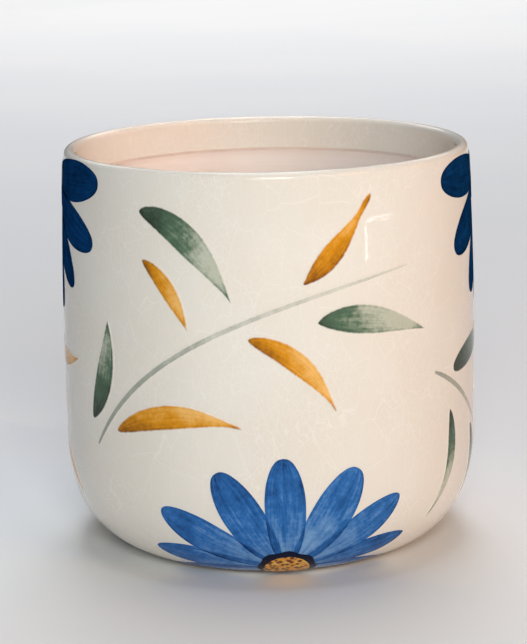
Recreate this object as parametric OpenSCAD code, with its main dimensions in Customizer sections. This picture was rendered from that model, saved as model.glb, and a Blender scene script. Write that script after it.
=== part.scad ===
// Painted crackle-glazed pot: a thrown earthenware cup with a rounded foot,
// a cream glaze outside, a satin glaze inside, and brushed enamel flowers.
// Origin: centre of the foot, on the surface that it stands on. +Z up, -Y front.

/* [Pot] */
// Widest radius over the glaze
body_r = 75; // [60:0.5:100]
// Height from the foot to the crown of the lip
body_h = 145; // [120:1:180]
// Radius over the glaze just under the lip
rim_r = 72.8; // [58:0.1:99]
// Height above which the wall starts to lean in
lean_z = 66; // [45:1:100]
// Height of the rounded lower corner
corner_h = 41; // [30:1:60]
// Radius where the rounded corner meets the foot
base_r = 44; // [30:1:50]
// How square the rounded corner is (2 is an ellipse)
corner_pow = 2.36; // [2:0.02:3]

/* [Wall] */
// Wall thickness at the lip, glaze included
lip_t = 4.4; // [3.4:0.1:6]
// Wall thickness below the inner ledge
wall_t = 6; // [5:0.1:9]
// Thickness of the floor above the foot plane
floor_t = 9; // [7:0.5:14]
// Depth of the inner ledge below the lip
ledge_d = 12; // [8:0.5:20]
// Outer radius of the standing ring
foot_r = 47; // [40:0.5:50]
// Width of the standing ring
foot_w = 9; // [5:0.5:15]
// Depth of the turned hollow inside the standing ring
foot_d = 2; // [1:0.5:3]

/* [Coats] */
// Thickness of both glaze coats
glaze_t = 0.4; // [0.3:0.05:0.6]
// Radius at which the outer glaze stops short of the foot
glaze_start_r = 52.5; // [51:0.5:58]
// Thickness of the brushed enamel
paint_t = 0.15; // [0.1:0.05:0.3]

/* [Flowers] */
// How wide the petals are for their length
petal_fullness = 1; // [0.8:0.05:1.1]
// Radius of a flower's eye
eye_r = 8; // [5:0.5:9]
// Width of the dark ring round an eye
ring_w = 2; // [1:0.5:3]
// Brushed width of a stem
stem_w = 1.4; // [0.8:0.1:2.5]

/* [Hidden] */
$fn = 180;
// heading of each flower and its sprig, in degrees from the front
FRONT = 4;
RIGHT = 94;
BACK = 184;
LEFT = -94;
// heights of the flowers' middles, measured along the outside
low_s = 1.5;
high_s = 131;
lip_r = lip_t / 2;
ledge_z = body_h - ledge_d;
in_r = rim_r - lip_t;
foot_in_r = foot_r - foot_w;

// brush strokes: [start, bend, end, width]; a point is [degrees, height along the outside]
FLAT_STEM = [[-58, 46], [-32, 98], [35, 110], stem_w];
FLAT_LEAVES = [
    [[-40, 132], [-26, 129], [-14, 103], 10],
    [[-60, 55], [-52, 71], [-52, 92], 9],
    [[8, 93], [21, 99], [42, 87], 9],
    [[-39, 115], [-31, 109], [-26, 93], 5.5],
    [[-50, 53], [-31, 67], [-12, 59], 8.5],
    [[-10, 90], [5, 85], [13, 64], 7],
    [[5, 107], [13, 115], [24, 137], 8.5]];
HUNG_STEM = [[-45, 71], [-23, 62], [-3, 24], stem_w];
HUNG_LEAVES = [
    [[-35, 68], [-20, 76], [-2, 80], 8.5],
    [[-38, 55], [-34, 38], [-44, 17], 5.5],
    [[-22, 45], [-16, 32], [-24, 17], 6.5],
    [[-12, 55], [4, 62], [18, 50], 8],
    [[2, 76], [14, 68], [30, 74], 7],
    [[3, 40], [17, 38], [26, 22], 7],
    [[1, 21], [12, 21], [22, 8], 6]];
// petals: [direction in degrees, length, width]
LOW_PETALS = [[-8, 38, 8], [15.5, 46, 9], [35, 50.5, 11.5], [59, 48, 14.5], [92, 46.5, 14],
    [121, 48, 14], [150, 52.5, 12.5], [169, 49, 10.5], [188, 40, 8]];
HIGH_PETALS = [[7.5, 54, 14.5], [-15, 52, 14], [-41, 46, 13.5], [-68, 46, 14], [-96, 47, 14],
    [-124, 46, 14], [-154.5, 47, 14.5], [174.5, 50.5, 14.5]];

// outside radius of the wall above the rounded corner
function wall_r(z) = z < lean_z ? body_r
    : body_r - (body_r - rim_r) * pow((z - lean_z) / (body_h - lip_r - lean_z), 2);
// point on the rounded corner, a from 0 at the foot to 90 at the wall
function corner(a, r0, r1, z0, h) =
    [r0 + (r1 - r0) * pow(1 - pow(cos(a), corner_pow), 1 / corner_pow), z0 + h * (1 - cos(a))];
// unit normal of a segment, to the right of its direction
function seg_n(a, b) = [b[1] - a[1], a[0] - b[0]] / norm(b - a);
function vert_n(L, i) =
    let (n0 = seg_n(L[max(i - 1, 0)], L[max(i, 1)]),
         n1 = seg_n(L[min(i, len(L) - 2)], L[min(i + 1, len(L) - 1)]))
    (n0 + n1) / (1 + n0 * n1);
// a line moved sideways by d
function off(L, d) = [for (i = [0:len(L) - 1]) L[i] + d * vert_n(L, i)];
function rev(L) = [for (i = [len(L) - 1:-1:0]) L[i]];

// outside of the pot from the foot to the lip, over the glaze
outside = concat(
    [for (a = [12:4.5:84]) corner(a, base_r, body_r, 0, corner_h)],
    [for (k = [0:14]) let (z = corner_h + k * (body_h - lip_r - corner_h) / 14) [wall_r(z), z]]);
glazed = [for (p = outside) if (p[0] >= glaze_start_r) p];
lip = [for (a = [15:15:180]) [rim_r - lip_r + lip_r * cos(a), body_h - lip_r + lip_r * sin(a)]];
coat = concat(glazed, lip, [[in_r, ledge_z]]);
// inside of the pot from the ledge to the middle of the floor, over the glaze
cup = concat(
    [[in_r, ledge_z], [in_r - 0.7, ledge_z - 0.1], [in_r - 1.3, ledge_z - 0.6]],
    [for (k = [0:8]) let (z = ledge_z - 1.6 - k * (ledge_z - 1.6 - corner_h - 4) / 8)
        [wall_r(z) - wall_t, z]],
    [for (a = [82:-7:5])
        corner(a, base_r - 14, body_r - wall_t, floor_t, corner_h + 4 - floor_t)],
    [[base_r - 14, floor_t], [0, floor_t]]);
under_glaze = off(coat, -glaze_t);
under_liner = off(cup, -glaze_t);
joint = [in_r + glaze_t, ledge_z - glaze_t];
cup_last = len(cup) - 1;

// length along the outside at each of its points, equal to the height on the wall
function run(i) = outside[i][1] >= corner_h ? outside[i][1]
    : run(i + 1) - norm(outside[i + 1] - outside[i]);
runs = [for (i = [0:len(outside) - 1]) run(i)];
run_z = [for (i = [0:len(outside) - 1]) [runs[i], outside[i][1]]];
run_r = [for (i = [0:len(outside) - 1]) [runs[i], outside[i][0]]];
// a point u mm round and s mm up, as it is seen square on
function seen(p) =
    let (r = lookup(p[1], run_r), over = max(p[1] - (body_h - lip_r), 0))
    [r * sin(p[0] / r * 180 / PI), lookup(p[1], run_z) + over];
function arc_mm(p, mid) = [(p[0] - mid) * PI / 180 * lookup(p[1], run_r), p[1]];

function bend(a, b, c, t) = (1 - t) * (1 - t) * a + 2 * t * (1 - t) * b + t * t * c;
function slope(a, b, c, t) = let (d = (1 - t) * (b - a) + t * (c - b)) [-d[1], d[0]] / norm(d);
// half the width of a stroke of kind "leaf", "petal" or "stem" along its length
function swell(kind, t) = kind == "stem" ? min(1, 0.45 + 5 * t, 0.45 + 5 * (1 - t)) / 2
    : kind == "leaf" ? pow(max(sin(180 * pow(t, 0.85)), 0), 0.8) / 2
    : sqrt(max(sin(180 * pow(t, 1.45)), 0)) / 2;
// where the outline's points fall along a stroke: closer together at a petal's round tip
function along(kind, q) = kind == "petal" ? 1 - (1 - q) * (1 - q) : q;
function edge(a, b, c, w, kind, n, side) = [for (i = [1:n - 1])
    let (t = along(kind, i / n)) bend(a, b, c, t) + side * w * swell(kind, t) * slope(a, b, c, t)];
// outline of a stroke in mm round and mm up
function stroke(a, b, c, w, kind, n) = concat([a], edge(a, b, c, w, kind, n, 1), [c],
    rev(edge(a, b, c, w, kind, n, -1)));

// the skin of enamel between two lengths up the outside, wide enough for one motif
module skin(heading, lo, hi) {
    L = [for (i = [0:len(outside) - 1]) if (runs[i] > lo && runs[i] < hi) outside[i]];
    rotate([0, 0, heading + 205]) rotate_extrude(angle = 130)
        polygon(concat(L, rev(off(L, paint_t))));
}

// cuts the skin to an outline drawn in mm round and mm up
module cut_out(heading, outline) {
    rotate([0, 0, heading]) rotate([90, 0, 0]) translate([0, 0, 4]) linear_extrude(84)
        polygon([for (p = outline) seen(p)]);
}

module brushed(heading, s, kind) {
    mid = (s[0][0] + s[2][0]) / 2;
    lo = min(s[0][1], s[1][1], s[2][1]) - 11;
    hi = max(s[0][1], s[1][1], s[2][1]) + 11;
    intersection() {
        skin(heading + mid, lo, hi);
        cut_out(heading + mid, stroke(arc_mm(s[0], mid), arc_mm(s[1], mid),
            arc_mm(s[2], mid), s[3], kind, kind == "stem" ? 16 : 12));
    }
}

module leaf(heading, s, tint) { color(tint) brushed(heading, s, "leaf"); }

module stem(heading, s) { color("#8f9d90") brushed(heading, s, "stem"); }

function polar(r, a, s) = [r * cos(a), s + r * sin(a)];

module petals(heading, s, fan) {
    color("#2f5e9c") intersection() {
        skin(heading, s - 65, s + 65);
        difference() {
            for (p = fan) {
                cut_out(heading, stroke(polar(1, p[0], s), polar(p[1] / 2, p[0], s),
                    polar(p[1], p[0], s), p[2] * petal_fullness, "petal", 9));
            }
            cut_out(heading, [for (a = [0:15:345]) polar(eye_r + ring_w, a, s)]);
        }
    }
}

module ring(heading, s) {
    color("#14264f") intersection() {
        skin(heading, s - 20, s + 20);
        difference() {
            cut_out(heading, [for (a = [0:15:345]) polar(eye_r + ring_w, a, s)]);
            cut_out(heading, [for (a = [0:15:345]) polar(eye_r, a, s)]);
        }
    }
}

module eye(heading, s) {
    color("#d98a2b") intersection() {
        skin(heading, s - 20, s + 20);
        cut_out(heading, [for (a = [0:15:345]) polar(eye_r, a, s)]);
    }
}

module clay_body() {
    color("#c9a27e") rotate_extrude() polygon(concat(
        [[0, foot_d], [foot_in_r - 1, foot_d], [foot_in_r, 0], [foot_r, 0]],
        [[base_r + 5.5, under_glaze[0][1] * 0.55]],
        under_glaze, [joint],
        [for (i = [1:cup_last]) under_liner[i]]));
}

module outer_glaze() {
    color("#e9ddd1") rotate_extrude() polygon(concat(coat, rev(under_glaze)));
}

module liner_glaze() {
    color("#d9c3ae") rotate_extrude() polygon(concat(cup,
        [for (i = [cup_last:-1:1]) under_liner[i]], [joint, [in_r + glaze_t, ledge_z]]));
}

green = "#6f8f72";
ochre = "#c8842b";

clay_body();
outer_glaze();
liner_glaze();
stem(FRONT, FLAT_STEM);  // front_stem
leaf(FRONT, FLAT_LEAVES[0], green);  // front_green_leaf_1
leaf(FRONT, FLAT_LEAVES[1], green);  // front_green_leaf_2
leaf(FRONT, FLAT_LEAVES[2], green);  // front_green_leaf_3
leaf(FRONT, FLAT_LEAVES[3], ochre);  // front_ochre_leaf_1
leaf(FRONT, FLAT_LEAVES[4], ochre);  // front_ochre_leaf_2
leaf(FRONT, FLAT_LEAVES[5], ochre);  // front_ochre_leaf_3
leaf(FRONT, FLAT_LEAVES[6], ochre);  // front_ochre_leaf_4
stem(RIGHT, HUNG_STEM);  // right_stem
leaf(RIGHT, HUNG_LEAVES[0], green);  // right_green_leaf_1
leaf(RIGHT, HUNG_LEAVES[1], green);  // right_green_leaf_2
leaf(RIGHT, HUNG_LEAVES[2], green);  // right_green_leaf_3
leaf(RIGHT, HUNG_LEAVES[3], ochre);  // right_ochre_leaf_1
leaf(RIGHT, HUNG_LEAVES[4], ochre);  // right_ochre_leaf_2
leaf(RIGHT, HUNG_LEAVES[5], ochre);  // right_ochre_leaf_3
leaf(RIGHT, HUNG_LEAVES[6], ochre);  // right_ochre_leaf_4
stem(BACK, FLAT_STEM);  // back_stem
leaf(BACK, FLAT_LEAVES[0], green);  // back_green_leaf_1
leaf(BACK, FLAT_LEAVES[1], green);  // back_green_leaf_2
leaf(BACK, FLAT_LEAVES[2], green);  // back_green_leaf_3
leaf(BACK, FLAT_LEAVES[3], ochre);  // back_ochre_leaf_1
leaf(BACK, FLAT_LEAVES[4], ochre);  // back_ochre_leaf_2
leaf(BACK, FLAT_LEAVES[5], ochre);  // back_ochre_leaf_3
leaf(BACK, FLAT_LEAVES[6], ochre);  // back_ochre_leaf_4
stem(LEFT, HUNG_STEM);  // left_stem
leaf(LEFT, HUNG_LEAVES[0], green);  // left_green_leaf_1
leaf(LEFT, HUNG_LEAVES[1], green);  // left_green_leaf_2
leaf(LEFT, HUNG_LEAVES[2], green);  // left_green_leaf_3
leaf(LEFT, HUNG_LEAVES[3], ochre);  // left_ochre_leaf_1
leaf(LEFT, HUNG_LEAVES[4], ochre);  // left_ochre_leaf_2
leaf(LEFT, HUNG_LEAVES[5], ochre);  // left_ochre_leaf_3
leaf(LEFT, HUNG_LEAVES[6], ochre);  // left_ochre_leaf_4
petals(FRONT, low_s, LOW_PETALS);  // front_daisy_petals
ring(FRONT, low_s);  // front_daisy_ring
eye(FRONT, low_s);  // front_daisy_eye
petals(RIGHT, high_s, HIGH_PETALS);  // right_daisy_petals
ring(RIGHT, high_s);  // right_daisy_ring
eye(RIGHT, high_s);  // right_daisy_eye
petals(BACK, low_s, LOW_PETALS);  // back_daisy_petals
ring(BACK, low_s);  // back_daisy_ring
eye(BACK, low_s);  // back_daisy_eye
petals(LEFT, high_s, HIGH_PETALS);  // left_daisy_petals
ring(LEFT, high_s);  // left_daisy_ring
eye(LEFT, high_s);  // left_daisy_eye
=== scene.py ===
"""A hand-painted crackle-glazed pottery vase, dressed over its CAD frame."""

import logging
import math
from bisect import bisect_left
from dataclasses import dataclass, field
from enum import Enum
from typing import Protocol

import bmesh
import bpy
from mathutils import Matrix, Vector


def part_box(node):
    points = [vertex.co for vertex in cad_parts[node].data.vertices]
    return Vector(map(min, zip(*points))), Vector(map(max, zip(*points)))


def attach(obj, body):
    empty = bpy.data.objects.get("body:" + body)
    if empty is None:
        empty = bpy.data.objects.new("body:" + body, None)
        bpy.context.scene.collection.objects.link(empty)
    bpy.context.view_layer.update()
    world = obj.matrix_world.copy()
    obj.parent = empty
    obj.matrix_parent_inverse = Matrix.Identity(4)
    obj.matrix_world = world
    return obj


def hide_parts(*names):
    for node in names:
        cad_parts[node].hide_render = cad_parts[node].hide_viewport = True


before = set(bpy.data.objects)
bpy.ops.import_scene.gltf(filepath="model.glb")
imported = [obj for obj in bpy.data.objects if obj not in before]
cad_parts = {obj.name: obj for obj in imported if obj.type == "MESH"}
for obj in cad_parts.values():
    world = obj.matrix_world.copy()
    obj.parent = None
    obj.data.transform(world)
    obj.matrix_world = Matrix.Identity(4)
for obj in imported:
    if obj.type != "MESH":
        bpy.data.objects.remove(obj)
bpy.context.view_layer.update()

MM = 0.001
SKIN_T = 0.2 * MM
SMOOTH_BELOW = math.radians(50)
LOG = logging.getLogger("vase")

Socket = bpy.types.NodeSocket
Tree = bpy.types.NodeTree
Pair = tuple[float, float]


def linear(hex_colour: str) -> tuple[float, float, float, float]:
    """Turn an sRGB hex colour into linear light.

    Args:
        hex_colour: six hex digits after a hash, such as "#e9ddd1".

    Returns:
        The colour as linear red, green, blue and full alpha.
    """
    parts = [int(hex_colour[i:i + 2], 16) / 255 for i in (1, 3, 5)]
    red, green, blue = (c / 12.92 if c <= 0.04045 else ((c + 0.055) / 1.055) ** 2.4 for c in parts)
    return red, green, blue, 1.0


def add(tree: Tree, kind: str, inputs: dict | None = None, **settings: object) -> bpy.types.Node:
    """Add one node, set it up and link it.

    Args:
        tree: the node tree it goes in.
        kind: the node's type, such as "ShaderNodeMath".
        inputs: socket name or number to a value, or to the socket that feeds it.
        settings: the node's own properties.

    Returns:
        The new node.
    """
    node = tree.nodes.new(kind)
    for name, value in settings.items():
        setattr(node, name, value)
    for key, value in (inputs or {}).items():
        if isinstance(value, bpy.types.NodeSocket):
            tree.links.new(value, node.inputs[key])
        else:
            node.inputs[key].default_value = value
    return node


def remap(tree: Tree, value: Socket, low: float, high: float, to_low: float, to_high: float,
          kind: str = "LINEAR") -> Socket:
    """Stretch a value from one range to another.

    Args:
        tree: the node tree.
        value: the socket that gives the value.
        low: value that becomes to_low.
        high: value that becomes to_high.
        to_low: result at low.
        to_high: result at high.
        kind: "LINEAR" or "SMOOTHSTEP".

    Returns:
        The socket with the clamped result.
    """
    return add(tree, "ShaderNodeMapRange",
               {"Value": value, "From Min": low, "From Max": high, "To Min": to_low,
                "To Max": to_high}, interpolation_type=kind).outputs["Result"]


def sums(tree: Tree, operation: str, first: Socket | float, second: Socket | float = 0.0) -> Socket:
    """Work out one piece of arithmetic on two values.

    Args:
        tree: the node tree.
        operation: the Math node's operation, such as "MULTIPLY".
        first: a socket or a number.
        second: a socket or a number.

    Returns:
        The socket with the result.
    """
    return add(tree, "ShaderNodeMath", {0: first, 1: second}, operation=operation).outputs[0]


def blend_colours(tree: Tree, amount: Socket | float, first: Socket | tuple,
                  second: Socket | tuple, mode: str = "MIX") -> Socket:
    """Lay one colour over another.

    Args:
        tree: the node tree.
        amount: how much of the second colour shows, 0 to 1.
        first: the lower colour.
        second: the upper colour.
        mode: the Mix node's blend type.

    Returns:
        The socket with the blended colour.
    """
    node = add(tree, "ShaderNodeMix", data_type="RGBA", blend_type=mode)
    for index, value in ((0, amount), (6, first), (7, second)):
        if isinstance(value, bpy.types.NodeSocket):
            tree.links.new(value, node.inputs[index])
        else:
            node.inputs[index].default_value = value
    return node.outputs[2]


class Pigment(Enum):
    """The enamels that the painter's brushes carried."""

    STEM = "stem_green"
    GREEN = "leaf_green"
    OCHRE = "leaf_ochre"
    BLUE = "petal_blue"
    DEEP = "petal_deep_blue"
    NAVY = "ring_blue"
    EYE = "eye_ochre"


class Finish(Protocol):
    """What every finish gives: its own colour and relief, roughness and gleam."""

    roughness: float
    gleam: float

    def surface(self, tree: Tree) -> tuple[Socket, Socket]:
        """Build the colour and the relief in millimetres, as two sockets."""


@dataclass(frozen=True)
class CrackleGlaze:
    """Tin-white earthenware glaze, dipped, glossy and crazed all over.

    Crazing is the net of hair cracks that opens as the glaze cools on a clay that
    shrinks less: cells of 2 to 8 mm with lines of about 0.1 mm, drawn here at
    0.15 mm so that they show. Fields that end in per_m are cycles per metre.
    """

    cream: str = "#eee8df"
    blush: str = "#ece4d9"
    hairline: str = "#fdfaf5"
    cell_mm: float = 2.3
    long_cell_mm: float = 8.0
    line_mm: float = 0.15
    mottle_mm: float = 34.0
    throwing_mm: float = 3.2
    roughness: float = 0.03
    gleam: float = 0.3
    crack_depth: float = 0.015
    crack_show: float = 0.32
    ring_depth: float = 0.015
    swell_depth: float = 0.035
    swell_per_m: float = 70.0
    wander_per_m: float = 140.0
    wander_m: float = 0.002
    patch_per_m: float = 45.0
    least_patch: float = 0.25

    def surface(self, tree: Tree) -> tuple[Socket, Socket]:
        """Build the glaze's colour and its relief.

        Args:
            tree: the material's node tree.

        Returns:
            The colour socket and the height socket, in millimetres.
        """
        place = add(tree, "ShaderNodeTexCoord").outputs["Object"]
        mottle = add(tree, "ShaderNodeTexNoise",
                     {"Vector": place, "Scale": 1000 / self.mottle_mm, "Detail": 3.0,
                      "Roughness": 0.55}).outputs[0]
        colour = blend_colours(tree, remap(tree, mottle, 0.38, 0.64, 0.0, 1.0),
                               linear(self.cream), linear(self.blush))
        wander = add(tree, "ShaderNodeTexNoise",
                     {"Vector": place, "Scale": self.wander_per_m, "Detail": 2.0}).outputs[1]
        bent = add(tree, "ShaderNodeVectorMath",
                   {0: wander, 1: (self.wander_m,) * 3, 2: place},
                   operation="MULTIPLY_ADD").outputs[0]
        fine = self.net(tree, bent, self.cell_mm, (1.0, 1.0, 0.7))
        long = self.net(tree, bent, self.long_cell_mm, (1.0, 1.0, 0.5))
        patch = add(tree, "ShaderNodeTexNoise",
                    {"Vector": place, "Scale": self.patch_per_m, "Detail": 1.0}).outputs[0]
        patchy = remap(tree, patch, 0.42, 0.6, self.least_patch, 1.0)
        lines = sums(tree, "MAXIMUM", sums(tree, "MULTIPLY", fine, patchy), long)
        colour = blend_colours(tree, sums(tree, "MULTIPLY", lines, self.crack_show), colour,
                               linear(self.hairline))
        rings = add(tree, "ShaderNodeTexNoise",
                    {"Vector": add(tree, "ShaderNodeVectorMath",
                                   {0: place, 1: (8.0, 8.0, 1000 / self.throwing_mm)},
                                   operation="MULTIPLY").outputs[0],
                     "Scale": 1.0, "Detail": 2.0}).outputs[0]
        swell = add(tree, "ShaderNodeTexNoise",
                    {"Vector": place, "Scale": self.swell_per_m, "Detail": 2.0}).outputs[0]
        height = sums(tree, "ADD", sums(tree, "MULTIPLY", rings, self.ring_depth),
                      sums(tree, "MULTIPLY", swell, self.swell_depth))
        height = sums(tree, "SUBTRACT", height,
                      sums(tree, "MULTIPLY", lines, self.crack_depth))
        return colour, height

    def net(self, tree: Tree, place: Socket, cell_mm: float,
            stretch: tuple[float, float, float]) -> Socket:
        """Draw one net of hair cracks.

        Args:
            tree: the material's node tree.
            place: where on the vase, in metres.
            cell_mm: size of the cells between cracks.
            stretch: how the net is drawn out along each axis.

        Returns:
            The socket that is 1 on a crack and 0 between cracks.
        """
        drawn = add(tree, "ShaderNodeVectorMath", {0: place, 1: stretch},
                    operation="MULTIPLY").outputs[0]
        gap = add(tree, "ShaderNodeTexVoronoi", {"Vector": drawn, "Scale": 1000 / cell_mm},
                  feature="DISTANCE_TO_EDGE").outputs[0]
        half = self.line_mm / 2 / cell_mm
        return remap(tree, gap, half * 0.4, half * 1.6, 1.0, 0.0, "SMOOTHSTEP")


COAT = CrackleGlaze()


@dataclass(frozen=True)
class LinerGlaze:
    """Thin clear glaze over bare earthenware, poured in and out again.

    Thin enough to show the clay's warmth and the finger rings, so it is greyer,
    pinker and less shiny than the coat outside.
    """

    pale: str = "#f8efe9"
    warm: str = "#f2e3da"
    # colour and strength of the painted shade laid on the ledge's shoulder
    ledge_shade: str = "#bb9883"
    edge_mm: float = 132.4
    ledge_shade_share: float = 0.5
    ring_mm: float = 4.5
    ring_depth: float = 0.3
    mottle_per_m: float = 60.0
    roughness: float = 0.42
    gleam: float = 0.3

    def surface(self, tree: Tree) -> tuple[Socket, Socket]:
        """Build the liner's colour and its relief.

        Args:
            tree: the material's node tree.

        Returns:
            The colour socket and the height socket, in millimetres.
        """
        place = add(tree, "ShaderNodeTexCoord").outputs["Object"]
        rings = add(tree, "ShaderNodeTexNoise",
                    {"Vector": add(tree, "ShaderNodeVectorMath",
                                   {0: place, 1: (6.0, 6.0, 1000 / self.ring_mm)},
                                   operation="MULTIPLY").outputs[0],
                     "Scale": 1.0, "Detail": 3.0}).outputs[0]
        mottle = add(tree, "ShaderNodeTexNoise",
                     {"Vector": place, "Scale": self.mottle_per_m, "Detail": 4.0}).outputs[0]
        mixed = sums(tree, "ADD", sums(tree, "MULTIPLY", rings, 0.6),
                     sums(tree, "MULTIPLY", mottle, 0.4))
        colour = blend_colours(tree, remap(tree, mixed, 0.36, 0.66, 0.0, 1.0),
                               linear(self.pale), linear(self.warm))
        # painted shade: the ledge's top shoulder, which the lamps light, is darkened towards a dull
        # clay colour to stand in for the shade in the crease under the upper band
        z = add(tree, "ShaderNodeSeparateXYZ", {0: place}).outputs[2]
        thin = remap(tree, z, (self.edge_mm - 0.5) * MM, self.edge_mm * MM, 0.0, self.ledge_shade_share)
        colour = blend_colours(tree, thin, colour, linear(self.ledge_shade))
        return colour, sums(tree, "MULTIPLY", rings, self.ring_depth)


@dataclass(frozen=True)
class BareClay:
    """Red-buff earthenware, turned on the wheel and left bare.

    Bare fired clay is matt and slightly sandy, with the turning tool's rings.
    """

    buff: str = "#cda985"
    dark: str = "#b3875f"
    grit_mm: float = 0.9
    grit_depth: float = 0.12
    cloud_per_m: float = 60.0
    roughness: float = 0.85
    gleam: float = 0.3

    def surface(self, tree: Tree) -> tuple[Socket, Socket]:
        """Build the clay's colour and its relief.

        Args:
            tree: the material's node tree.

        Returns:
            The colour socket and the height socket, in millimetres.
        """
        place = add(tree, "ShaderNodeTexCoord").outputs["Object"]
        grit = add(tree, "ShaderNodeTexNoise",
                   {"Vector": place, "Scale": 1000 / self.grit_mm, "Detail": 4.0}).outputs[0]
        cloud = add(tree, "ShaderNodeTexNoise",
                    {"Vector": place, "Scale": self.cloud_per_m, "Detail": 3.0}).outputs[0]
        mixed = sums(tree, "ADD", sums(tree, "MULTIPLY", grit, 0.5),
                     sums(tree, "MULTIPLY", cloud, 0.5))
        colour = blend_colours(tree, remap(tree, mixed, 0.38, 0.62, 0.0, 1.0),
                               linear(self.buff), linear(self.dark))
        return colour, sums(tree, "MULTIPLY", grit, self.grit_depth)


@dataclass(frozen=True)
class BrushedEnamel:
    """In-glaze enamel, brushed on in one stroke and fired into the coat.

    The brush sets down most colour where it lands and along the stroke's edges,
    where the wet enamel pools, and runs dry towards the tail, so the cream shows
    through there. Bristles leave streaks along the stroke.

    Shares of the stroke's length run from 0 where the brush lands to 1 where it
    lifts. Swings say how far a texture moves the enamel's thickness, 0 to 1.
    """

    dark: str
    middle: str
    light: str
    start_dark: float = 0.9
    tail_fade: float = 0.6
    cover: float = 0.97
    dry_cover: float = 0.6
    pooling: float = 0.5
    streaks: float = 0.5
    end_dark: float = 0.0
    lean: float = 0.0
    bleed_mm: float = 0.0
    soft_mm: float = 0.2
    edge_reach: float = 1.7
    grain_mm: float = 1.6
    grain_swing: float = 0.08
    wash_per_m: float = 160.0
    wash_swing: float = 0.1
    hairs_along: float = 1.1
    hairs_across: float = 3.6
    hair_scale: float = 1.6
    streak_swing: float = 0.3
    dry_share: float = 0.75
    end_share: Pair = (0.86, 0.95)
    pool_mm: Pair = (0.25, 1.1)
    thick_mm: float = 0.04
    roughness: float = COAT.roughness
    gleam: float = 0.12

    def surface(self, tree: Tree) -> tuple[Socket, Socket]:
        """Build the stroke's colour over the crackle coat, and its relief.

        Args:
            tree: the material's node tree.

        Returns:
            The colour socket and the height socket, in millimetres.
        """
        cream, height = COAT.surface(tree)
        along, across = (add(tree, "ShaderNodeSeparateXYZ",
                             {0: add(tree, "ShaderNodeUVMap", uv_map="stroke").outputs[0]}
                             ).outputs[i] for i in (0, 1))
        depth = add(tree, "ShaderNodeAttribute", attribute_name="depth_mm").outputs["Fac"]
        tone = add(tree, "ShaderNodeAttribute", attribute_name="tone").outputs["Fac"]
        place = add(tree, "ShaderNodeTexCoord").outputs["Object"]
        drift = add(tree, "ShaderNodeVectorMath", {0: place, 1: (31.0, 23.0, 37.0)},
                    operation="DOT_PRODUCT").outputs["Value"]
        hairs = add(tree, "ShaderNodeCombineXYZ",
                    {0: sums(tree, "MULTIPLY", along, self.hairs_along),
                     1: sums(tree, "MULTIPLY", across, self.hairs_across), 2: drift}).outputs[0]
        streak = add(tree, "ShaderNodeTexNoise",
                     {"Vector": hairs, "Scale": self.hair_scale, "Detail": 3.0,
                      "Roughness": 0.6}).outputs[0]
        grain = add(tree, "ShaderNodeTexNoise",
                    {"Vector": place, "Scale": 1000 / self.grain_mm, "Detail": 3.0,
                     "Roughness": 0.65}).outputs[0]
        wash = add(tree, "ShaderNodeTexNoise",
                   {"Vector": place, "Scale": self.wash_per_m, "Detail": 2.0}).outputs[0]
        # how thick the colour lies, 0 to 1
        load = remap(tree, along, 0.0, self.dry_share, self.start_dark,
                     self.start_dark - self.tail_fade)
        hair = sums(tree, "MULTIPLY", remap(tree, streak, 0.3, 0.7, -1.0, 1.0),
                    self.streaks * self.streak_swing)
        pool = remap(tree, depth, *self.pool_mm, self.pooling, 0.0, "SMOOTHSTEP")
        for part in (hair,
                     remap(tree, wash, 0.35, 0.65, -self.wash_swing, self.wash_swing),
                     remap(tree, grain, 0.35, 0.65, -self.grain_swing, self.grain_swing),
                     sums(tree, "MULTIPLY", pool, 0.5),
                     remap(tree, along, *self.end_share, 0.0, self.end_dark),
                     sums(tree, "SUBTRACT", tone, 0.5),
                     remap(tree, across, -1.0, 1.0, self.lean, -self.lean)):
            load = sums(tree, "ADD", load, part)
        ramp = add(tree, "ShaderNodeValToRGB", {0: load})
        ramp.color_ramp.elements[0].position = 0.0
        ramp.color_ramp.elements[0].color = linear(self.light)
        ramp.color_ramp.elements[1].position = 1.0
        ramp.color_ramp.elements[1].color = linear(self.dark)
        ramp.color_ramp.elements.new(0.5).color = linear(self.middle)
        # how much of the cream the colour hides
        ragged = sums(tree, "ADD", depth,
                      remap(tree, grain, 0.3, 0.7, self.bleed_mm - 0.5 * self.soft_mm,
                            self.bleed_mm + 0.5 * self.soft_mm))
        fade = self.edge_reach * self.soft_mm
        inside = remap(tree, ragged, -fade, fade, 0.0, 1.0, "SMOOTHSTEP")
        thin = remap(tree, load, 0.0, 0.4, self.dry_cover, 1.0)
        cover = sums(tree, "MULTIPLY", sums(tree, "MULTIPLY", inside, thin), self.cover)
        colour = blend_colours(tree, cover, cream, ramp.outputs[0])
        height = sums(tree, "ADD", height, sums(tree, "MULTIPLY", cover, self.thick_mm))
        return colour, height


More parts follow.
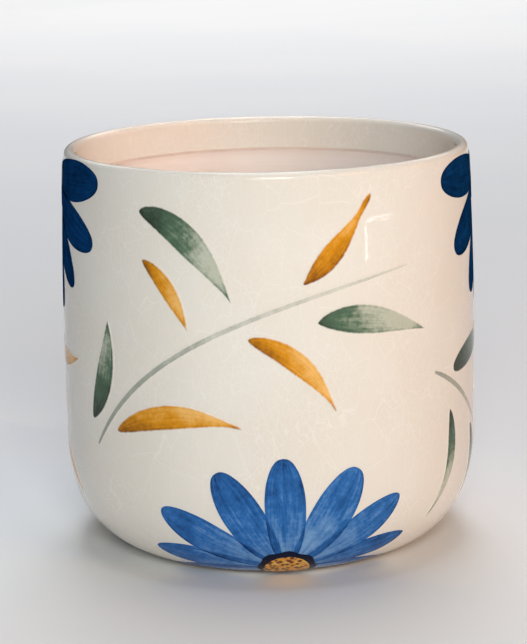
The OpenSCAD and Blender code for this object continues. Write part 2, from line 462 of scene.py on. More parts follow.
@dataclass(frozen=True)
class StippledEye:
    """Thick orange enamel dabbed with brown while wet, like seeds."""

    orange: str = "#e39a35"
    gold: str = "#f0bd62"
    brown: str = "#7a3a10"
    dab_mm: float = 1.9
    dab_scatter: float = 0.8
    dab_edge: Pair = (0.3, 0.58)
    dab_depth: float = 0.1
    blotch_per_m: float = 500.0
    roughness: float = 0.3
    gleam: float = 0.3

    def surface(self, tree: Tree) -> tuple[Socket, Socket]:
        """Build the eye's colour, and its relief with the coat's crazing in it.

        Args:
            tree: the material's node tree.

        Returns:
            The colour socket and the height socket, in millimetres.
        """
        _, height = COAT.surface(tree)
        place = add(tree, "ShaderNodeTexCoord").outputs["Object"]
        seed = add(tree, "ShaderNodeTexVoronoi",
                   {"Vector": place, "Scale": 1000 / self.dab_mm,
                    "Randomness": self.dab_scatter}).outputs[0]
        blotch = add(tree, "ShaderNodeTexNoise",
                     {"Vector": place, "Scale": self.blotch_per_m, "Detail": 2.0}).outputs[0]
        ground = blend_colours(tree, remap(tree, blotch, 0.4, 0.6, 0.0, 1.0),
                               linear(self.orange), linear(self.gold))
        dab = remap(tree, seed, *self.dab_edge, 1.0, 0.0, "SMOOTHSTEP")
        colour = blend_colours(tree, dab, ground, linear(self.brown))
        return colour, sums(tree, "ADD", height, sums(tree, "MULTIPLY", dab, self.dab_depth))


LINER = LinerGlaze()
CLAY = BareClay()
ENAMELS = {
    Pigment.STEM: BrushedEnamel("#6f786f", "#92998d", "#b3b6aa", start_dark=0.75, tail_fade=0.7,
                                cover=0.8, dry_cover=0.5, pooling=0.0, streaks=0.3,
                                soft_mm=0.12),
    Pigment.GREEN: BrushedEnamel("#152d1c", "#486750", "#97a68c", start_dark=1.0,
                                 tail_fade=0.95, pooling=0.25, streaks=0.32, end_dark=0.35,
                                 lean=0.1, soft_mm=0.22),
    Pigment.OCHRE: BrushedEnamel("#814700", "#d98f18", "#f7b84a", start_dark=0.82,
                                 tail_fade=0.68, pooling=0.22, streaks=0.35, dry_cover=0.86,
                                 end_dark=0.4, cover=1.0, lean=0.2, soft_mm=0.24),
    Pigment.BLUE: BrushedEnamel("#052c62", "#2f6cb2", "#7aa5d3", start_dark=0.1,
                                tail_fade=-0.5, pooling=0.15, streaks=0.6, cover=1.0,
                                dry_cover=1.0, soft_mm=0.02, bleed_mm=0.2),
    Pigment.NAVY: BrushedEnamel("#030914", "#081838", "#132d5a", start_dark=0.7, tail_fade=0.0,
                                cover=1.0, dry_cover=1.0, pooling=0.0, soft_mm=0.05,
                                bleed_mm=0.2),
    Pigment.DEEP: BrushedEnamel("#02152f", "#0b3766", "#134f8e", start_dark=0.45, tail_fade=-0.1,
                                pooling=0.3, streaks=0.5, cover=1.0, dry_cover=1.0,
                                soft_mm=0.02, bleed_mm=0.2, gleam=0.0),
}
EYE = StippledEye()


def dress(colour: Socket, height: Socket, tree: Tree, roughness: float,
          gleam: float) -> None:
    """Finish a material from its colour and relief.

    Args:
        colour: the socket that gives its colour.
        height: the socket that gives its relief, in millimetres.
        tree: the material's node tree.
        roughness: how rough the surface is, the same all over.
        gleam: how strongly it mirrors the room, 0.5 for plain glass.
    """
    relief = add(tree, "ShaderNodeBump", {"Height": height, "Strength": 1.0, "Distance": MM})
    shader = add(tree, "ShaderNodeBsdfPrincipled",
                 {"Base Color": colour, "Roughness": roughness, "IOR": 1.5,
                  "Specular IOR Level": gleam, "Normal": relief.outputs[0]})
    add(tree, "ShaderNodeOutputMaterial", {"Surface": shader.outputs[0]})


def blank(name: str) -> tuple[bpy.types.Material, Tree]:
    """Start an empty material.

    Args:
        name: its name.

    Returns:
        The material and its cleared node tree.
    """
    material = bpy.data.materials.new(name)
    material.use_nodes = True
    material.node_tree.nodes.clear()
    return material, material.node_tree


@dataclass
class Finishes:
    """The vase's materials, made once and shared."""

    made: dict[str, bpy.types.Material] = field(default_factory=dict)

    def coat(self) -> bpy.types.Material:
        """Give the outer glaze."""
        return self.keep("crackle_glaze", COAT)

    def liner(self) -> bpy.types.Material:
        """Give the satin liner glaze."""
        return self.keep("satin_liner_glaze", LINER)

    def clay(self) -> bpy.types.Material:
        """Give the bare clay."""
        return self.keep("bare_earthenware", CLAY)

    def enamel(self, pigment: Pigment) -> bpy.types.Material:
        """Give one of the brushed enamels."""
        if pigment is Pigment.EYE:
            return self.keep("stippled_enamel", EYE)
        return self.keep(f"brushed_enamel_{pigment.value}", ENAMELS[pigment])

    def keep(self, name: str, finish: Finish) -> bpy.types.Material:
        """Make a material the first time that it is asked for.

        Args:
            name: the material's name.
            finish: what gives its colour, relief, roughness and gleam.

        Returns:
            The material.
        """
        if name not in self.made:
            material, tree = blank(name)
            dress(*finish.surface(tree), tree, finish.roughness, finish.gleam)
            self.made[name] = material
        return self.made[name]


def clear_selection() -> None:
    """Deselect every object, so that an operator acts on one piece only."""
    bpy.ops.object.select_all(action="DESELECT")


def use_modifier(piece: bpy.types.Object, kind: str, **settings: object) -> None:
    """Add a modifier to a piece and apply it.

    Args:
        piece: the piece.
        kind: the modifier's type, such as "SOLIDIFY".
        settings: the modifier's own settings.
    """
    modifier = piece.modifiers.new(kind.lower(), kind)
    for name, value in settings.items():
        setattr(modifier, name, value)
    clear_selection()
    piece.select_set(True)
    bpy.context.view_layer.objects.active = piece
    bpy.ops.object.modifier_apply(modifier=modifier.name)


def hand_over(piece: bpy.types.Object, name: str, material: bpy.types.Material, slot: str,
              *nodes: str) -> bpy.types.Object:
    """Name and dress a finished piece and put it in place of its CAD nodes.

    Args:
        piece: the finished piece.
        name: the piece's name.
        material: its finish.
        slot: the record's material slot; not used.
        nodes: the CAD nodes that it stands for.

    Returns:
        The same piece.
    """
    piece.name = name
    piece.data.name = name
    piece.data.materials.clear()
    piece.data.materials.append(material)
    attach(piece, "root")
    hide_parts(*nodes)
    LOG.info("%s: %d faces", name, len(piece.data.polygons))
    return piece


@dataclass
class PotShape:
    """The thrown shape: a cup with a rounded foot, drawn over the glaze, in millimetres."""

    body_r: float
    height: float
    rim_r: float = 72.8
    lip_t: float = 4.4
    lean_z: float = 66.0
    corner_h: float = 41.0
    base_r: float = 44.0
    power: float = 2.36
    wall_t: float = 6.0
    floor_z: float = 9.0
    ledge_d: float = 12.0
    glaze_t: float = 0.4
    glaze_start_r: float = 52.5
    foot_r: float = 47.0
    foot_w: float = 9.0
    foot_d: float = 2.0
    runs: list[tuple[float, float, float]] = field(default_factory=list)

    def __post_init__(self) -> None:
        """Measure the outside's length from the wall down to the foot."""
        points = [self.corner(a / 2, self.base_r, self.body_r, 0.0, self.corner_h)
                  for a in range(180, 8, -1)]
        run = self.corner_h
        self.runs = [(run, *points[0])]
        for before, after in zip(points, points[1:]):
            run -= math.dist(before, after)
            self.runs.append((run, *after))

    def wall_r(self, z: float) -> float:
        """Give the outside radius of the wall above the corner."""
        if z < self.lean_z:
            return self.body_r
        lean = (z - self.lean_z) / (self.height - self.lip_t / 2 - self.lean_z)
        return self.body_r - (self.body_r - self.rim_r) * lean ** 2

    def corner(self, angle: float, low_r: float, high_r: float, low_z: float,
               rise: float) -> Pair:
        """Give a point on a rounded corner.

        Args:
            angle: 0 at the floor to 90 at the wall, in degrees.
            low_r: radius where the corner starts.
            high_r: radius where it meets the wall.
            low_z: height where it starts.
            rise: how high it is.

        Returns:
            Radius and height.
        """
        c = max(math.cos(math.radians(angle)), 0.0)
        return (low_r + (high_r - low_r) * (1 - c ** self.power) ** (1 / self.power),
                low_z + rise * (1 - c))

    def spot(self, run: float) -> Pair:
        """Find the point on the outside at a length along it.

        Args:
            run: length up the outside, equal to the height on the wall.

        Returns:
            Radius and height.
        """
        top, lip_r = self.height - self.lip_t / 2, self.lip_t / 2
        if run > top:
            turn = min((run - top) / lip_r, math.pi)
            return self.rim_r - lip_r + lip_r * math.cos(turn), top + lip_r * math.sin(turn)
        if run >= self.corner_h:
            return self.wall_r(run), run
        index = bisect_left(self.runs, -run, key=lambda point: -point[0])
        if index >= len(self.runs):
            return self.runs[-1][1], self.runs[-1][2]
        upper, lower = self.runs[index - 1], self.runs[index]
        share = (run - lower[0]) / (upper[0] - lower[0])
        return (lower[1] + share * (upper[1] - lower[1]),
                lower[2] + share * (upper[2] - lower[2]))

    def place(self, heading: float, across: float, run: float, lift: float) -> Vector:
        """Put a point of a brush stroke on the outside.

        Args:
            heading: the motif's direction in degrees from the front.
            across: millimetres round from there.
            run: millimetres up the outside.
            lift: millimetres off the glaze.

        Returns:
            The point in metres.
        """
        radius, z = self.spot(run)
        above, below = self.spot(run + 0.5), self.spot(run - 0.5)
        rise = math.dist(above, below)
        out_r, out_z = (above[1] - below[1]) / rise, (below[0] - above[0]) / rise
        angle = math.radians(heading) + across / radius
        radius, z = radius + lift * out_r, z + lift * out_z
        return Vector((radius * math.sin(angle), -radius * math.cos(angle), z)) * MM

    def outside(self) -> list[Pair]:
        """Draw the glazed outside from near the foot to the ledge inside."""
        line = [self.corner(a, self.base_r, self.body_r, 0.0, self.corner_h)
                for a in (x * 1.5 for x in range(8, 60))]
        line = [p for p in line if p[0] >= self.glaze_start_r]
        top = self.height - self.lip_t / 2
        line += [(self.wall_r(z), z) for z in
                 (self.corner_h + (top - self.corner_h) * i / 46 for i in range(46))]
        line += [(self.rim_r - self.lip_t / 2 + self.lip_t / 2 * math.cos(math.radians(a)),
                  top + self.lip_t / 2 * math.sin(math.radians(a))) for a in range(0, 181, 10)]
        inner = self.rim_r - self.lip_t
        ledge = self.height - self.ledge_d
        return line + [(inner, top - (top - ledge) * i / 4) for i in range(1, 5)]

    def inside(self) -> list[Pair]:
        """Draw the inside from the ledge down to the middle of the floor."""
        inner, ledge = self.rim_r - self.lip_t, self.height - self.ledge_d
        line = [(inner, ledge), (inner - 0.25, ledge + 0.02), (inner - 0.7, ledge - 0.1),
                (inner - 1.1, ledge - 0.4), (inner - 1.3, ledge - 0.8)]
        start, end = ledge - 1.6, self.corner_h + 4
        line += [(self.wall_r(z) - self.wall_t, z) for z in
                 (start - (start - end) * i / 40 for i in range(41))]
        line += [self.corner(a, self.base_r - 14, self.body_r - self.wall_t, self.floor_z,
                             end - self.floor_z) for a in range(86, 2, -3)]
        return line + [((self.base_r - 14) * k / 6, self.floor_z) for k in range(6, 0, -1)]

    def underside(self) -> list[Pair]:
        """Draw the bare clay from the middle of the hollow out to the glaze's edge."""
        foot_in = self.foot_r - self.foot_w
        return [(0.0, self.foot_d), (foot_in - 3, self.foot_d), (foot_in - 1.2, self.foot_d - 0.3),
                (foot_in - 0.4, 0.5), (foot_in + 0.4, 0.0), (self.foot_r - 0.5, 0.0),
                (self.foot_r + 0.2, 0.3), (self.base_r + 5.5, 0.8)]


def shifted(line: list[Pair], distance: float) -> list[Pair]:
    """Move a drawn line sideways, into the clay where distance is negative.

    Args:
        line: radius and height pairs.
        distance: how far, in millimetres.

    Returns:
        The moved line.
    """
    moved = []
    for i, (radius, z) in enumerate(line):
        before, after = line[max(i - 1, 0)], line[min(i + 1, len(line) - 1)]
        length = math.dist(before, after)
        moved.append((radius + distance * (after[1] - before[1]) / length,
                      z - distance * (after[0] - before[0]) / length))
    return moved


@dataclass
class ThrownPieces:
    """The clay body and its two glaze coats, each spun from its own section."""

    shape: PotShape
    finishes: Finishes
    steps: int = 256
    crease: float = 42.0
    weld: float = 0.02 * MM

    def spin_up(self, section: list[Pair], closed: bool) -> bpy.types.Object:
        """Spin a section round the vase's axis into a shell.

        Args:
            section: radius and height pairs, in millimetres.
            closed: whether the section comes back to its start.

        Returns:
            The spun piece, with its place in its mesh.
        """
        clear_selection()
        radius, z = section[0]
        bpy.ops.mesh.primitive_plane_add(size=MM, location=(0.0, 0.0, 0.0))
        piece = bpy.context.object
        bpy.ops.object.mode_set(mode="EDIT")
        bpy.ops.mesh.merge(type="CENTER")
        bpy.ops.transform.translate(value=(radius * MM, 0.0, z * MM))
        for before, after in zip(section, section[1:]):
            step = ((after[0] - before[0]) * MM, 0.0, (after[1] - before[1]) * MM)
            bpy.ops.mesh.extrude_vertices_move(TRANSFORM_OT_translate={"value": step})
        bpy.ops.mesh.select_all(action="SELECT")
        if closed:
            mesh = bmesh.from_edit_mesh(piece.data)
            mesh.verts.ensure_lookup_table()
            mesh.edges.new((mesh.verts[-1], mesh.verts[0]))
            bmesh.update_edit_mesh(piece.data)
            bpy.ops.mesh.select_all(action="SELECT")
        bpy.ops.mesh.spin(steps=self.steps, angle=2 * math.pi, center=(0.0, 0.0, 0.0),
                          axis=(0.0, 0.0, 1.0))
        bpy.ops.mesh.select_all(action="SELECT")
        bpy.ops.mesh.remove_doubles(threshold=self.weld)
        bpy.ops.mesh.normals_make_consistent(inside=False)
        bpy.ops.object.mode_set(mode="OBJECT")
        bpy.ops.object.shade_smooth_by_angle(angle=math.radians(self.crease))
        return piece

    def build(self) -> None:
        """Build, dress and hand over the three pieces."""
        outside, inside = self.shape.outside(), self.shape.inside()
        under = shifted(outside, -self.shape.glaze_t)
        below = shifted(inside, -self.shape.glaze_t)
        under[-1] = (outside[-1][0] + self.shape.glaze_t, outside[-1][1])
        joint = (outside[-1][0] + self.shape.glaze_t, outside[-1][1] - self.shape.glaze_t)
        middle = (0.0, self.shape.floor_z)
        clay = self.spin_up(self.shape.underside() + under + [joint] + below[2:]
                            + [(0.0, self.shape.floor_z - self.shape.glaze_t)], False)
        hand_over(clay, "thrown_clay_body", self.finishes.clay(), "clay", "clay_body")
        coat = self.spin_up(outside + under[::-1], True)
        hand_over(coat, "crackle_coat", self.finishes.coat(), "cream_glaze", "outer_glaze")
        liner = self.spin_up([(0.0, self.shape.floor_z - self.shape.glaze_t)] + below[:1:-1]
                             + [joint, under[-1]] + inside + [middle], False)
        hand_over(liner, "satin_liner", self.finishes.liner(), "liner_glaze", "liner_glaze")


@dataclass
class Stroke:
    """One pass of a loaded brush over the curved wall.

    Points are degrees round from the motif's heading, and millimetres up the outside.
    """

    node: str
    pigment: Pigment
    start: Pair
    bend: Pair
    end: Pair
    width: float
    peak: float = 0.42
    blunt: float = 0.6
    taper: float = 0.9
    tone: float = 0.5
    lift: float = 0.13
    tail: float = 0.0
    margin: float = 0.6
    gather: float = 0.13
    landing: float = 0.06
    lifting: float = 0.05
    overlap_tone: float = 0.45
    under: list["Stroke"] = field(default_factory=list)

    def half_width(self, t: float) -> float:
        """Give half the painted width at a share of the stroke's length.

        Args:
            t: 0 where the brush lands to 1 where it lifts.

        Returns:
            Half the width in millimetres.
        """
        if t < self.peak:
            share = math.sin(math.pi / 2 * t / self.peak) ** self.blunt
        else:
            share = math.sin(math.pi / 2 * (1 - t) / (1 - self.peak)) ** self.taper
        ends = min(1.0, max(0.0, t) / self.landing, max(0.0, 1 - t) / self.lifting)
        return max(share * self.width / 2, self.tail * math.sqrt(ends))

    def build(self, shape: PotShape, heading: float, rows: int = 36,
              lanes: int = 10) -> bpy.types.Object:
        """Lay the stroke on the wall.

        A flat grid is drawn out along the stroke's curve, wrapped on the wall and
        given the enamel's thickness. It runs a little past the painted edge, so the
        colour can fade into the cream.

        Args:
            shape: the vase's shape.
            heading: the motif's direction, in degrees.
            rows: steps along the stroke.
            lanes: steps across it.

        Returns:
            The stroke as its own piece.
        """
        clear_selection()
        bpy.ops.mesh.primitive_grid_add(x_subdivisions=rows, y_subdivisions=lanes, size=1.0)
        piece = bpy.context.object
        mesh = piece.data
        mesh.uv_layers[0].name = "stroke"
        radius = shape.spot(self.start[1])[0], shape.spot(self.end[1])[0]
        mean = (radius[0] + radius[1]) / 2
        knots = [Vector((math.radians(p[0]) * mean, p[1]))
                 for p in (self.start, self.bend, self.end)]
        margin = min(self.margin, self.width * 0.25)
        length = (knots[1] - knots[0]).length + (knots[2] - knots[1]).length
        depth = mesh.attributes.new("depth_mm", "FLOAT", "POINT")
        tone = mesh.attributes.new("tone", "FLOAT", "POINT")
        paint_uv = {}
        for index, vertex in enumerate(mesh.vertices):
            share, lane = vertex.co.x + 0.5, vertex.co.y * 2
            # rows gather at both ends, where the outline turns fastest
            share -= self.gather * math.sin(2 * math.pi * share)
            t = share + (share - 0.5) * 2 * margin / length
            point, side = self.on_curve(knots, t)
            half = self.half_width(min(max(t, 0.0), 1.0))
            ends = min(t, 1 - t) * length
            reach = half + margin * min(1.0, max(0.0, (ends + margin) / margin))
            spot = point + side * lane * max(reach, 0.02)
            depth.data[index].value = min(half - abs(lane) * reach, ends)
            over = self.covers(spot.x / mean, spot.y, shape)
            tone.data[index].value = self.tone + self.overlap_tone * over
            paint_uv[index] = (t, lane * reach / max(half, 0.3) if half > 0.05 else lane)
            vertex.co = shape.place(heading, spot.x, spot.y, self.lift)
        layer = mesh.uv_layers["stroke"].data
        for loop in mesh.loops:
            layer[loop.index].uv = paint_uv[loop.vertex_index]
        use_modifier(piece, "SOLIDIFY", thickness=SKIN_T, offset=-1.0)
        bpy.ops.object.shade_smooth_by_angle(angle=SMOOTH_BELOW)
        return piece

    def covers(self, turn: float, run: float, shape: PotShape) -> float:
        """Tell whether a point also lies on a stroke painted before this one.

        Args:
            turn: radians round from the motif's heading.
            run: millimetres up the outside.
            shape: the vase's shape.

        Returns:
            1 well inside an earlier stroke, falling to 0 at its edge.
        """
        most = 0.0
        for stroke in self.under:
            scale = (shape.spot(stroke.start[1])[0] + shape.spot(stroke.end[1])[0]) / 2
            start = Vector((math.radians(stroke.start[0]) * scale, stroke.start[1]))
            way = Vector((math.radians(stroke.end[0]) * scale, stroke.end[1])) - start
            point = Vector((turn * scale, run)) - start
            t = point.dot(way) / way.length_squared
            if 0.0 < t < 1.0:
                inside = stroke.half_width(t) - abs(way.normalized().cross(point))
                most = max(most, min(max(inside / 0.8, 0.0), 1.0))
        return most

    def on_curve(self, knots: list[Vector], t: float) -> tuple[Vector, Vector]:
        """Follow the stroke's centre line.

        Args:
            knots: start, bend and end, in millimetres.
            t: share of the way along, which may run past the ends.

        Returns:
            The point and the unit direction across the stroke.
        """
        a, b, c = knots
        held = min(max(t, 0.0), 1.0)
        heading = ((b - a) * (1 - held) + (c - b) * held).normalized()
        point = a * (1 - held) ** 2 + b * 2 * held * (1 - held) + c * held ** 2
        point += heading * (t - held) * ((b - a).length + (c - b).length)
        return point, Vector((-heading.y, heading.x))


FLAT_SPRIG = [
    Stroke("stem", Pigment.STEM, (-58, 46), (-32, 98), (35, 110.6), 1.7, 0.3, 0.2, 0.3),
    Stroke("green_leaf_1", Pigment.GREEN, (-39.5, 131), (-25.5, 129.5), (-14, 102), 9.8, 0.5,
           0.55, 1.15),
    Stroke("green_leaf_2", Pigment.GREEN, (-60, 55), (-52, 71), (-52, 91.3), 8.8, 0.42, 0.6, 0.9,
           tone=0.6),
    Stroke("green_leaf_3", Pigment.GREEN, (8.5, 94.2), (21, 97), (41.2, 87.2), 9.8, 0.43, 0.7,
           1.1, tone=0.3),
    Stroke("ochre_leaf_1", Pigment.OCHRE, (-38.7, 114.5), (-31, 108.5), (-26, 92), 5.7, 0.5, 0.6,
           0.9),
    Stroke("ochre_leaf_2", Pigment.OCHRE, (-49, 53), (-30.5, 66.5), (-11.7, 58.5), 8.3, 0.45,
           0.55, 1.3, tail=0.5),
    Stroke("ochre_leaf_3", Pigment.OCHRE, (-9.5, 89.3), (5, 84.5), (13, 63.5), 7.2, 0.45, 0.5,
           1.3, tone=0.45, tail=0.35),
    Stroke("ochre_leaf_4", Pigment.OCHRE, (5, 107.6), (13.5, 116), (23.8, 136.3), 7.3, 0.42,
           0.85, 1.8, tone=0.62, tail=1.0),
]
HUNG_SPRIG = [
    Stroke("stem", Pigment.STEM, (-45, 70.5), (-25, 60), (-3, 24), 1.9, 0.3, 0.2, 0.3),
    Stroke("green_leaf_1", Pigment.GREEN, (-35, 69.2), (-20, 74.5), (-2, 77), 8.8, 0.38, 0.4,
           1.0, tone=0.74),
    Stroke("green_leaf_2", Pigment.GREEN, (-38, 55), (-34, 38), (-44, 17), 5.4, 0.4, 0.6, 1.0,
           tone=0.42),
    Stroke("green_leaf_3", Pigment.GREEN, (-22, 45), (-16, 32), (-24, 17), 6.4, 0.45, 0.6, 0.9),
    Stroke("ochre_leaf_1", Pigment.OCHRE, (-12, 55), (4, 62), (18, 50), 8.0, 0.45, 0.6, 1.2),
    Stroke("ochre_leaf_2", Pigment.OCHRE, (2, 76), (14, 68), (30, 74), 7.0, 0.45, 0.6, 1.2),
    Stroke("ochre_leaf_3", Pigment.OCHRE, (3, 40), (17, 38), (26, 22), 7.0, 0.45, 0.6, 1.1),
    Stroke("ochre_leaf_4", Pigment.OCHRE, (1, 21), (12, 21), (22, 8), 6.0, 0.45, 0.6, 1.1),
]


@dataclass
class Sprig:
    """A stem and its seven leaves, in one direction round the vase."""

    side: str
    heading: float
    strokes: list[Stroke]

    def build(self, shape: PotShape, finishes: Finishes) -> None:
        """Build, dress and hand over every stroke of the sprig."""
        for stroke in self.strokes:
            piece = stroke.build(shape, self.heading, rows=90 if stroke.node == "stem" else 36,
                                 lanes=6 if stroke.node == "stem" else 10)
            hand_over(piece, f"{self.side}_brushed_{stroke.node}",
                      finishes.enamel(stroke.pigment), stroke.pigment.value,
                      f"{self.side}_{stroke.node}")


@dataclass
class Daisy:
    """A blue daisy: a fan of wide petals round a dark ring and a stippled eye."""

    side: str
    heading: float
    run: float
    petals: list[tuple[float, float, float]]
    pigment: Pigment
    root_rise: float = 0.0
    root_r: float = 5.0
    eye_r: float = 8.0
    ring_w: float = 2.0
    tucked: float = 0.6

    def join(self, pieces: list[bpy.types.Object]) -> bpy.types.Object:
        """Join strokes into one piece.

        Args:
            pieces: the strokes, of which the first is kept.

        Returns:
            The joined piece.
        """
        clear_selection()
        for piece in pieces:
            piece.select_set(True)
        bpy.context.view_layer.objects.active = pieces[0]
        bpy.ops.object.join()
        return pieces[0]

    def petal(self, shape: PotShape, angle: float, length: float, width: float, order: int,
              rise: float = 0.0) -> Stroke:
        """Plan one petal, brushed outwards from the eye.

        Args:
            shape: the vase's shape.
            angle: degrees up from level, anticlockwise as seen.
            length: from the middle of the flower, in millimetres.
            width: widest part, in millimetres.
            order: its turn, which sets how far it lies over its neighbours.
            rise: how far its root sits above the flower's middle, in millimetres.

        Returns:
            The petal's stroke.
        """
        way = math.radians(angle)
        tip = (length * math.cos(way), self.run + length * math.sin(way))
        base = (self.root_r * math.cos(way), self.run + self.root_r * math.sin(way) + rise)
        middle = ((tip[0] + base[0]) / 2, (tip[1] + base[1]) / 2)
        radii = (shape.spot(base[1])[0] + shape.spot(tip[1])[0]) / 2
        degrees = [(math.degrees(x / radii), y) for x, y in (base, middle, tip)]
        # a narrow petal comes to more of a point than a wide one
        taper = 0.42 + 0.05 * max(0.0, 14 - width)
        return Stroke("petal", self.pigment, *degrees, width, 0.6, 0.45, taper,
                      0.5 + 0.08 * math.sin(order * 2.4), 0.1 + 0.012 * order, margin=0.04)

    def disc(self, shape: PotShape, inner: float, outer: float, lift: float) -> bpy.types.Object:
        """Lay a round patch or ring of enamel at the middle of the flower.

        Args:
            shape: the vase's shape.
            inner: inner radius in millimetres, 0 for a full patch.
            outer: outer radius in millimetres.
            lift: millimetres off the glaze.

        Returns:
            The patch as its own piece.
        """
        clear_selection()
        bpy.ops.mesh.primitive_grid_add(x_subdivisions=72, y_subdivisions=8, size=1.0)
        piece = bpy.context.object
        mesh = piece.data
        mesh.uv_layers[0].name = "stroke"
        depth = mesh.attributes.new("depth_mm", "FLOAT", "POINT")
        tone = mesh.attributes.new("tone", "FLOAT", "POINT")
        for index, vertex in enumerate(mesh.vertices):
            turn, lane = (vertex.co.x + 0.5) * 2 * math.pi, vertex.co.y + 0.5
            # a ring is brushed by hand: wider at the top, with a few small lobes
            ragged = (0.94 + 0.11 * max(math.sin(turn), 0.0) + 0.04 * math.sin(3 * turn + 0.6)
                      + 0.04 * math.sin(8 * turn + 2))
            reach = inner + (outer * (ragged if inner else 1.0) - inner) * lane
            depth.data[index].value = min((1 - lane) * (outer - inner),
                                          reach - inner + self.tucked)
            tone.data[index].value = 0.5
            vertex.co = shape.place(self.heading, reach * math.cos(turn),
                                    self.run + reach * math.sin(turn), lift)
        bpy.ops.object.mode_set(mode="EDIT")
        bpy.ops.mesh.select_all(action="SELECT")
        bpy.ops.mesh.remove_doubles(threshold=0.00001)
        bpy.ops.object.mode_set(mode="OBJECT")
        use_modifier(piece, "SOLIDIFY", thickness=SKIN_T, offset=-1.0)
        bpy.ops.object.shade_smooth_by_angle(angle=SMOOTH_BELOW)
        return piece

    def build(self, shape: PotShape, finishes: Finishes) -> None:
        """Build, dress and hand over the petals, the ring and the eye."""
        fan: list[Stroke] = []
        for order, petal in enumerate(self.petals):
            # the two level petals, painted first, start higher than the rest
            rise = self.root_rise if order < 2 else 0.0
            fan.append(self.petal(shape, *petal, order, rise))
            fan[-1].under = fan[:-1]
        pieces = [petal.build(shape, self.heading, rows=48, lanes=22) for petal in fan]
        hand_over(self.join(pieces), f"{self.side}_brushed_daisy_petals",
                  finishes.enamel(self.pigment), Pigment.BLUE.value,
                  f"{self.side}_daisy_petals")
        ring = self.disc(shape, self.eye_r - self.tucked, self.eye_r + self.ring_w + 0.4, 0.23)
        hand_over(ring, f"{self.side}_brushed_daisy_ring", finishes.enamel(Pigment.NAVY),
                  Pigment.NAVY.value, f"{self.side}_daisy_ring")
        eye = self.disc(shape, 0.0, self.eye_r, 0.25)
        hand_over(eye, f"{self.side}_stippled_daisy_eye", finishes.enamel(Pigment.EYE),
                  Pigment.EYE.value, f"{self.side}_daisy_eye")


# each petal's direction in degrees, length and width in millimetres, in the order painted
LOW_PETALS = [(187, 41, 9.5), (-7, 39, 9.5), (169, 49, 10.5), (15.5, 46, 9), (150, 52.5, 12.5),
              (35, 50.5, 11.5), (121, 48, 14), (59, 48, 14.5), (92, 46.5, 14)]
HIGH_PETALS = [(7.5, 54, 14.8), (174.5, 50.5, 14.5), (-16.5, 53, 13.8), (-154.5, 47, 14.5),
               (-41.5, 47.5, 13), (-124, 46, 14), (-68, 46, 14), (-96, 47, 14)]


# each side's direction round the vase in degrees from the front
HEADINGS = {"front": 4, "right": 94, "back": 184, "left": -94}
LOW_SIDES = ("front", "back")
LOW_RUN, HIGH_RUN = 1.5, 131
HIGH_ROOT_RISE = 3.2


@dataclass(frozen=True)
class Lamp:
    """One soft box: metres for places and sizes, degrees for how wide it shines."""

    name: str
    place: tuple[float, float, float]
    aim: tuple[float, float, float]
    size: Pair
    watts: float
    colour: str
    spread: float = 180.0

    def hang(self) -> None:
        """Hang the lamp, pointed at its aim and hidden from the camera."""
        data = bpy.data.lights.new(self.name, "AREA")
        data.spread = math.radians(self.spread)
        data.shape, data.size, data.size_y = "RECTANGLE", self.size[0], self.size[1]
        data.energy, data.color = self.watts, linear(self.colour)[:3]
        lamp = bpy.data.objects.new(self.name, data)
        lamp.visible_camera = False
        bpy.context.scene.collection.objects.link(lamp)
        way = Vector(self.aim) - Vector(self.place)
        lamp.matrix_world = Matrix.Translation(Vector(self.place)) @ \
            way.to_track_quat("-Z", "Y").to_matrix().to_4x4()


POT = (0.0, 0.0, 0.09)
LAMPS = (
    Lamp("ceiling_box", (0.0, 1.4, 3.0), (0.0, 1.4, 0.0), (1.2, 4.0), 62.0, "#eef5ff"),
    Lamp("far_box", (0.0, 2.7, 1.8), (0.0, 2.7, 0.0), (3.0, 2.0), 38.0, "#fff9f2"),
    Lamp("front_box", (0.09, -1.2, 0.55), POT, (0.45, 0.6), 9.6, "#f6fcfb"),
    Lamp("right_box", (0.95, -0.86, 0.55), POT, (0.4, 0.6), 3.1, "#ffc074"),
    Lamp("warm_lamp", (1.3, 0.0, 0.35), POT, (0.4, 0.5), 1.7, "#ff963c"),
    Lamp("inside_spot", (0.45, -0.2, 0.6), (-0.03, 0.04, 0.136), (0.06, 0.06), 0.011, "#ffdcc4",
         15.0),
    Lamp("window_bar", (0.482, -0.27, 0.078), (0.04, -0.06, 0.128), (0.17, 0.003), 0.013,
         "#ffffff"),
    Lamp("window_post", (0.44, -0.351, 0.059), (0.033, -0.067, 0.12), (0.016, 0.026), 0.013,
         "#ffffff"),
)


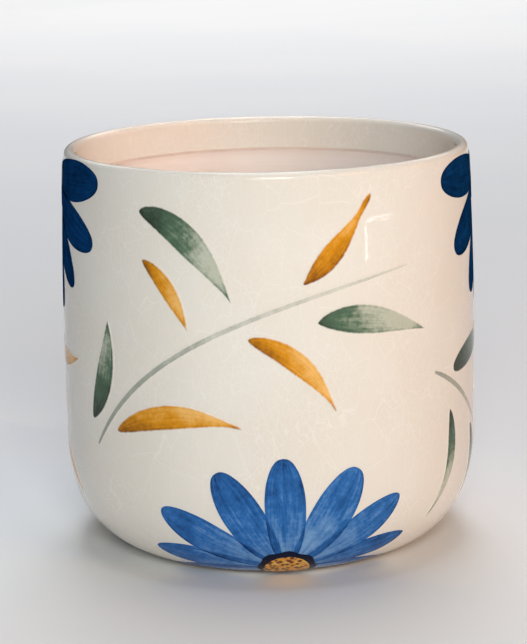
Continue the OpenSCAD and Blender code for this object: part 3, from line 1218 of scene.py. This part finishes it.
@dataclass
class Studio:
    """A pale floor, soft lights and the camera."""

    distance: float = 0.8
    aim_z: float = 0.07835
    side: float = -0.002
    elevation: float = 12.9
    roll: float = -1.1534
    lens: float = 121.7

    def floor(self) -> None:
        """Lay the wide pale floor."""
        clear_selection()
        bpy.ops.mesh.primitive_plane_add(size=12.0, location=(0.0, 0.0, 0.0))
        floor = bpy.context.object
        floor.name = "studio_floor"
        material, tree = blank("matt_white_paint")
        cloud = add(tree, "ShaderNodeTexNoise",
                    {"Vector": add(tree, "ShaderNodeTexCoord").outputs["Object"],
                     "Scale": 3.0}).outputs[0]
        colour = blend_colours(tree, remap(tree, cloud, 0.4, 0.6, 0.0, 1.0),
                               linear("#eaebec"), linear("#ededed"))
        dress(colour, sums(tree, "MULTIPLY", cloud, 0.02), tree, 0.9, 0.1)
        floor.data.materials.append(material)

    def light(self) -> None:
        """Light the vase from the front right, with a weaker cool side on the left."""
        world = bpy.data.worlds.new("studio_air")
        bpy.context.scene.world = world
        world.use_nodes = True
        world.node_tree.nodes.clear()
        air = add(world.node_tree, "ShaderNodeBackground",
                  {"Color": linear("#dce8fb"), "Strength": 0.015})
        add(world.node_tree, "ShaderNodeOutputWorld", {"Surface": air.outputs[0]})
        for lamp in LAMPS:
            lamp.hang()

    def camera(self) -> None:
        """Set the camera where the object is seen from a little above."""
        up_angle, turn = math.radians(self.elevation), math.radians(self.roll)
        place = Vector((self.side, -self.distance * math.cos(up_angle),
                        self.aim_z + self.distance * math.sin(up_angle)))
        ahead = Vector((0.0, math.cos(up_angle), -math.sin(up_angle)))
        right = Vector((1.0, 0.0, 0.0))
        above = right.cross(ahead)
        across = right * math.cos(turn) + above * math.sin(turn)
        upward = above * math.cos(turn) - right * math.sin(turn)
        data = bpy.data.cameras.new("studio_camera")
        data.lens, data.sensor_width, data.clip_start = self.lens, 36.0, 0.01
        camera = bpy.data.objects.new("studio_camera", data)
        bpy.context.scene.collection.objects.link(camera)
        camera.matrix_world = Matrix((
            (across.x, upward.x, -ahead.x, place.x), (across.y, upward.y, -ahead.y, place.y),
            (across.z, upward.z, -ahead.z, place.z), (0.0, 0.0, 0.0, 1.0)))
        bpy.context.scene.camera = camera

    def build(self) -> None:
        """Build the whole studio."""
        self.floor()
        self.light()
        self.camera()
        bpy.context.scene.view_settings.view_transform = "Standard"


def main() -> None:
    """Build every piece of the vase and its studio."""
    logging.basicConfig(level=logging.INFO, format="%(name)s: %(message)s")
    low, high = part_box("outer_glaze")
    shape = PotShape(body_r=(high[0] - low[0]) / 2 / MM, height=high[2] / MM)
    finishes = Finishes()
    ThrownPieces(shape, finishes).build()
    for side, heading in HEADINGS.items():
        strokes = FLAT_SPRIG if side in LOW_SIDES else HUNG_SPRIG
        Sprig(side, heading, strokes).build(shape, finishes)
    for side, heading in HEADINGS.items():
        if side in LOW_SIDES:
            daisy = Daisy(side, heading, LOW_RUN, LOW_PETALS, Pigment.BLUE)
        else:
            daisy = Daisy(side, heading, HIGH_RUN, HIGH_PETALS, Pigment.DEEP, HIGH_ROOT_RISE)
        daisy.build(shape, finishes)
    Studio().build()


if __name__ == "__main__":
    main()
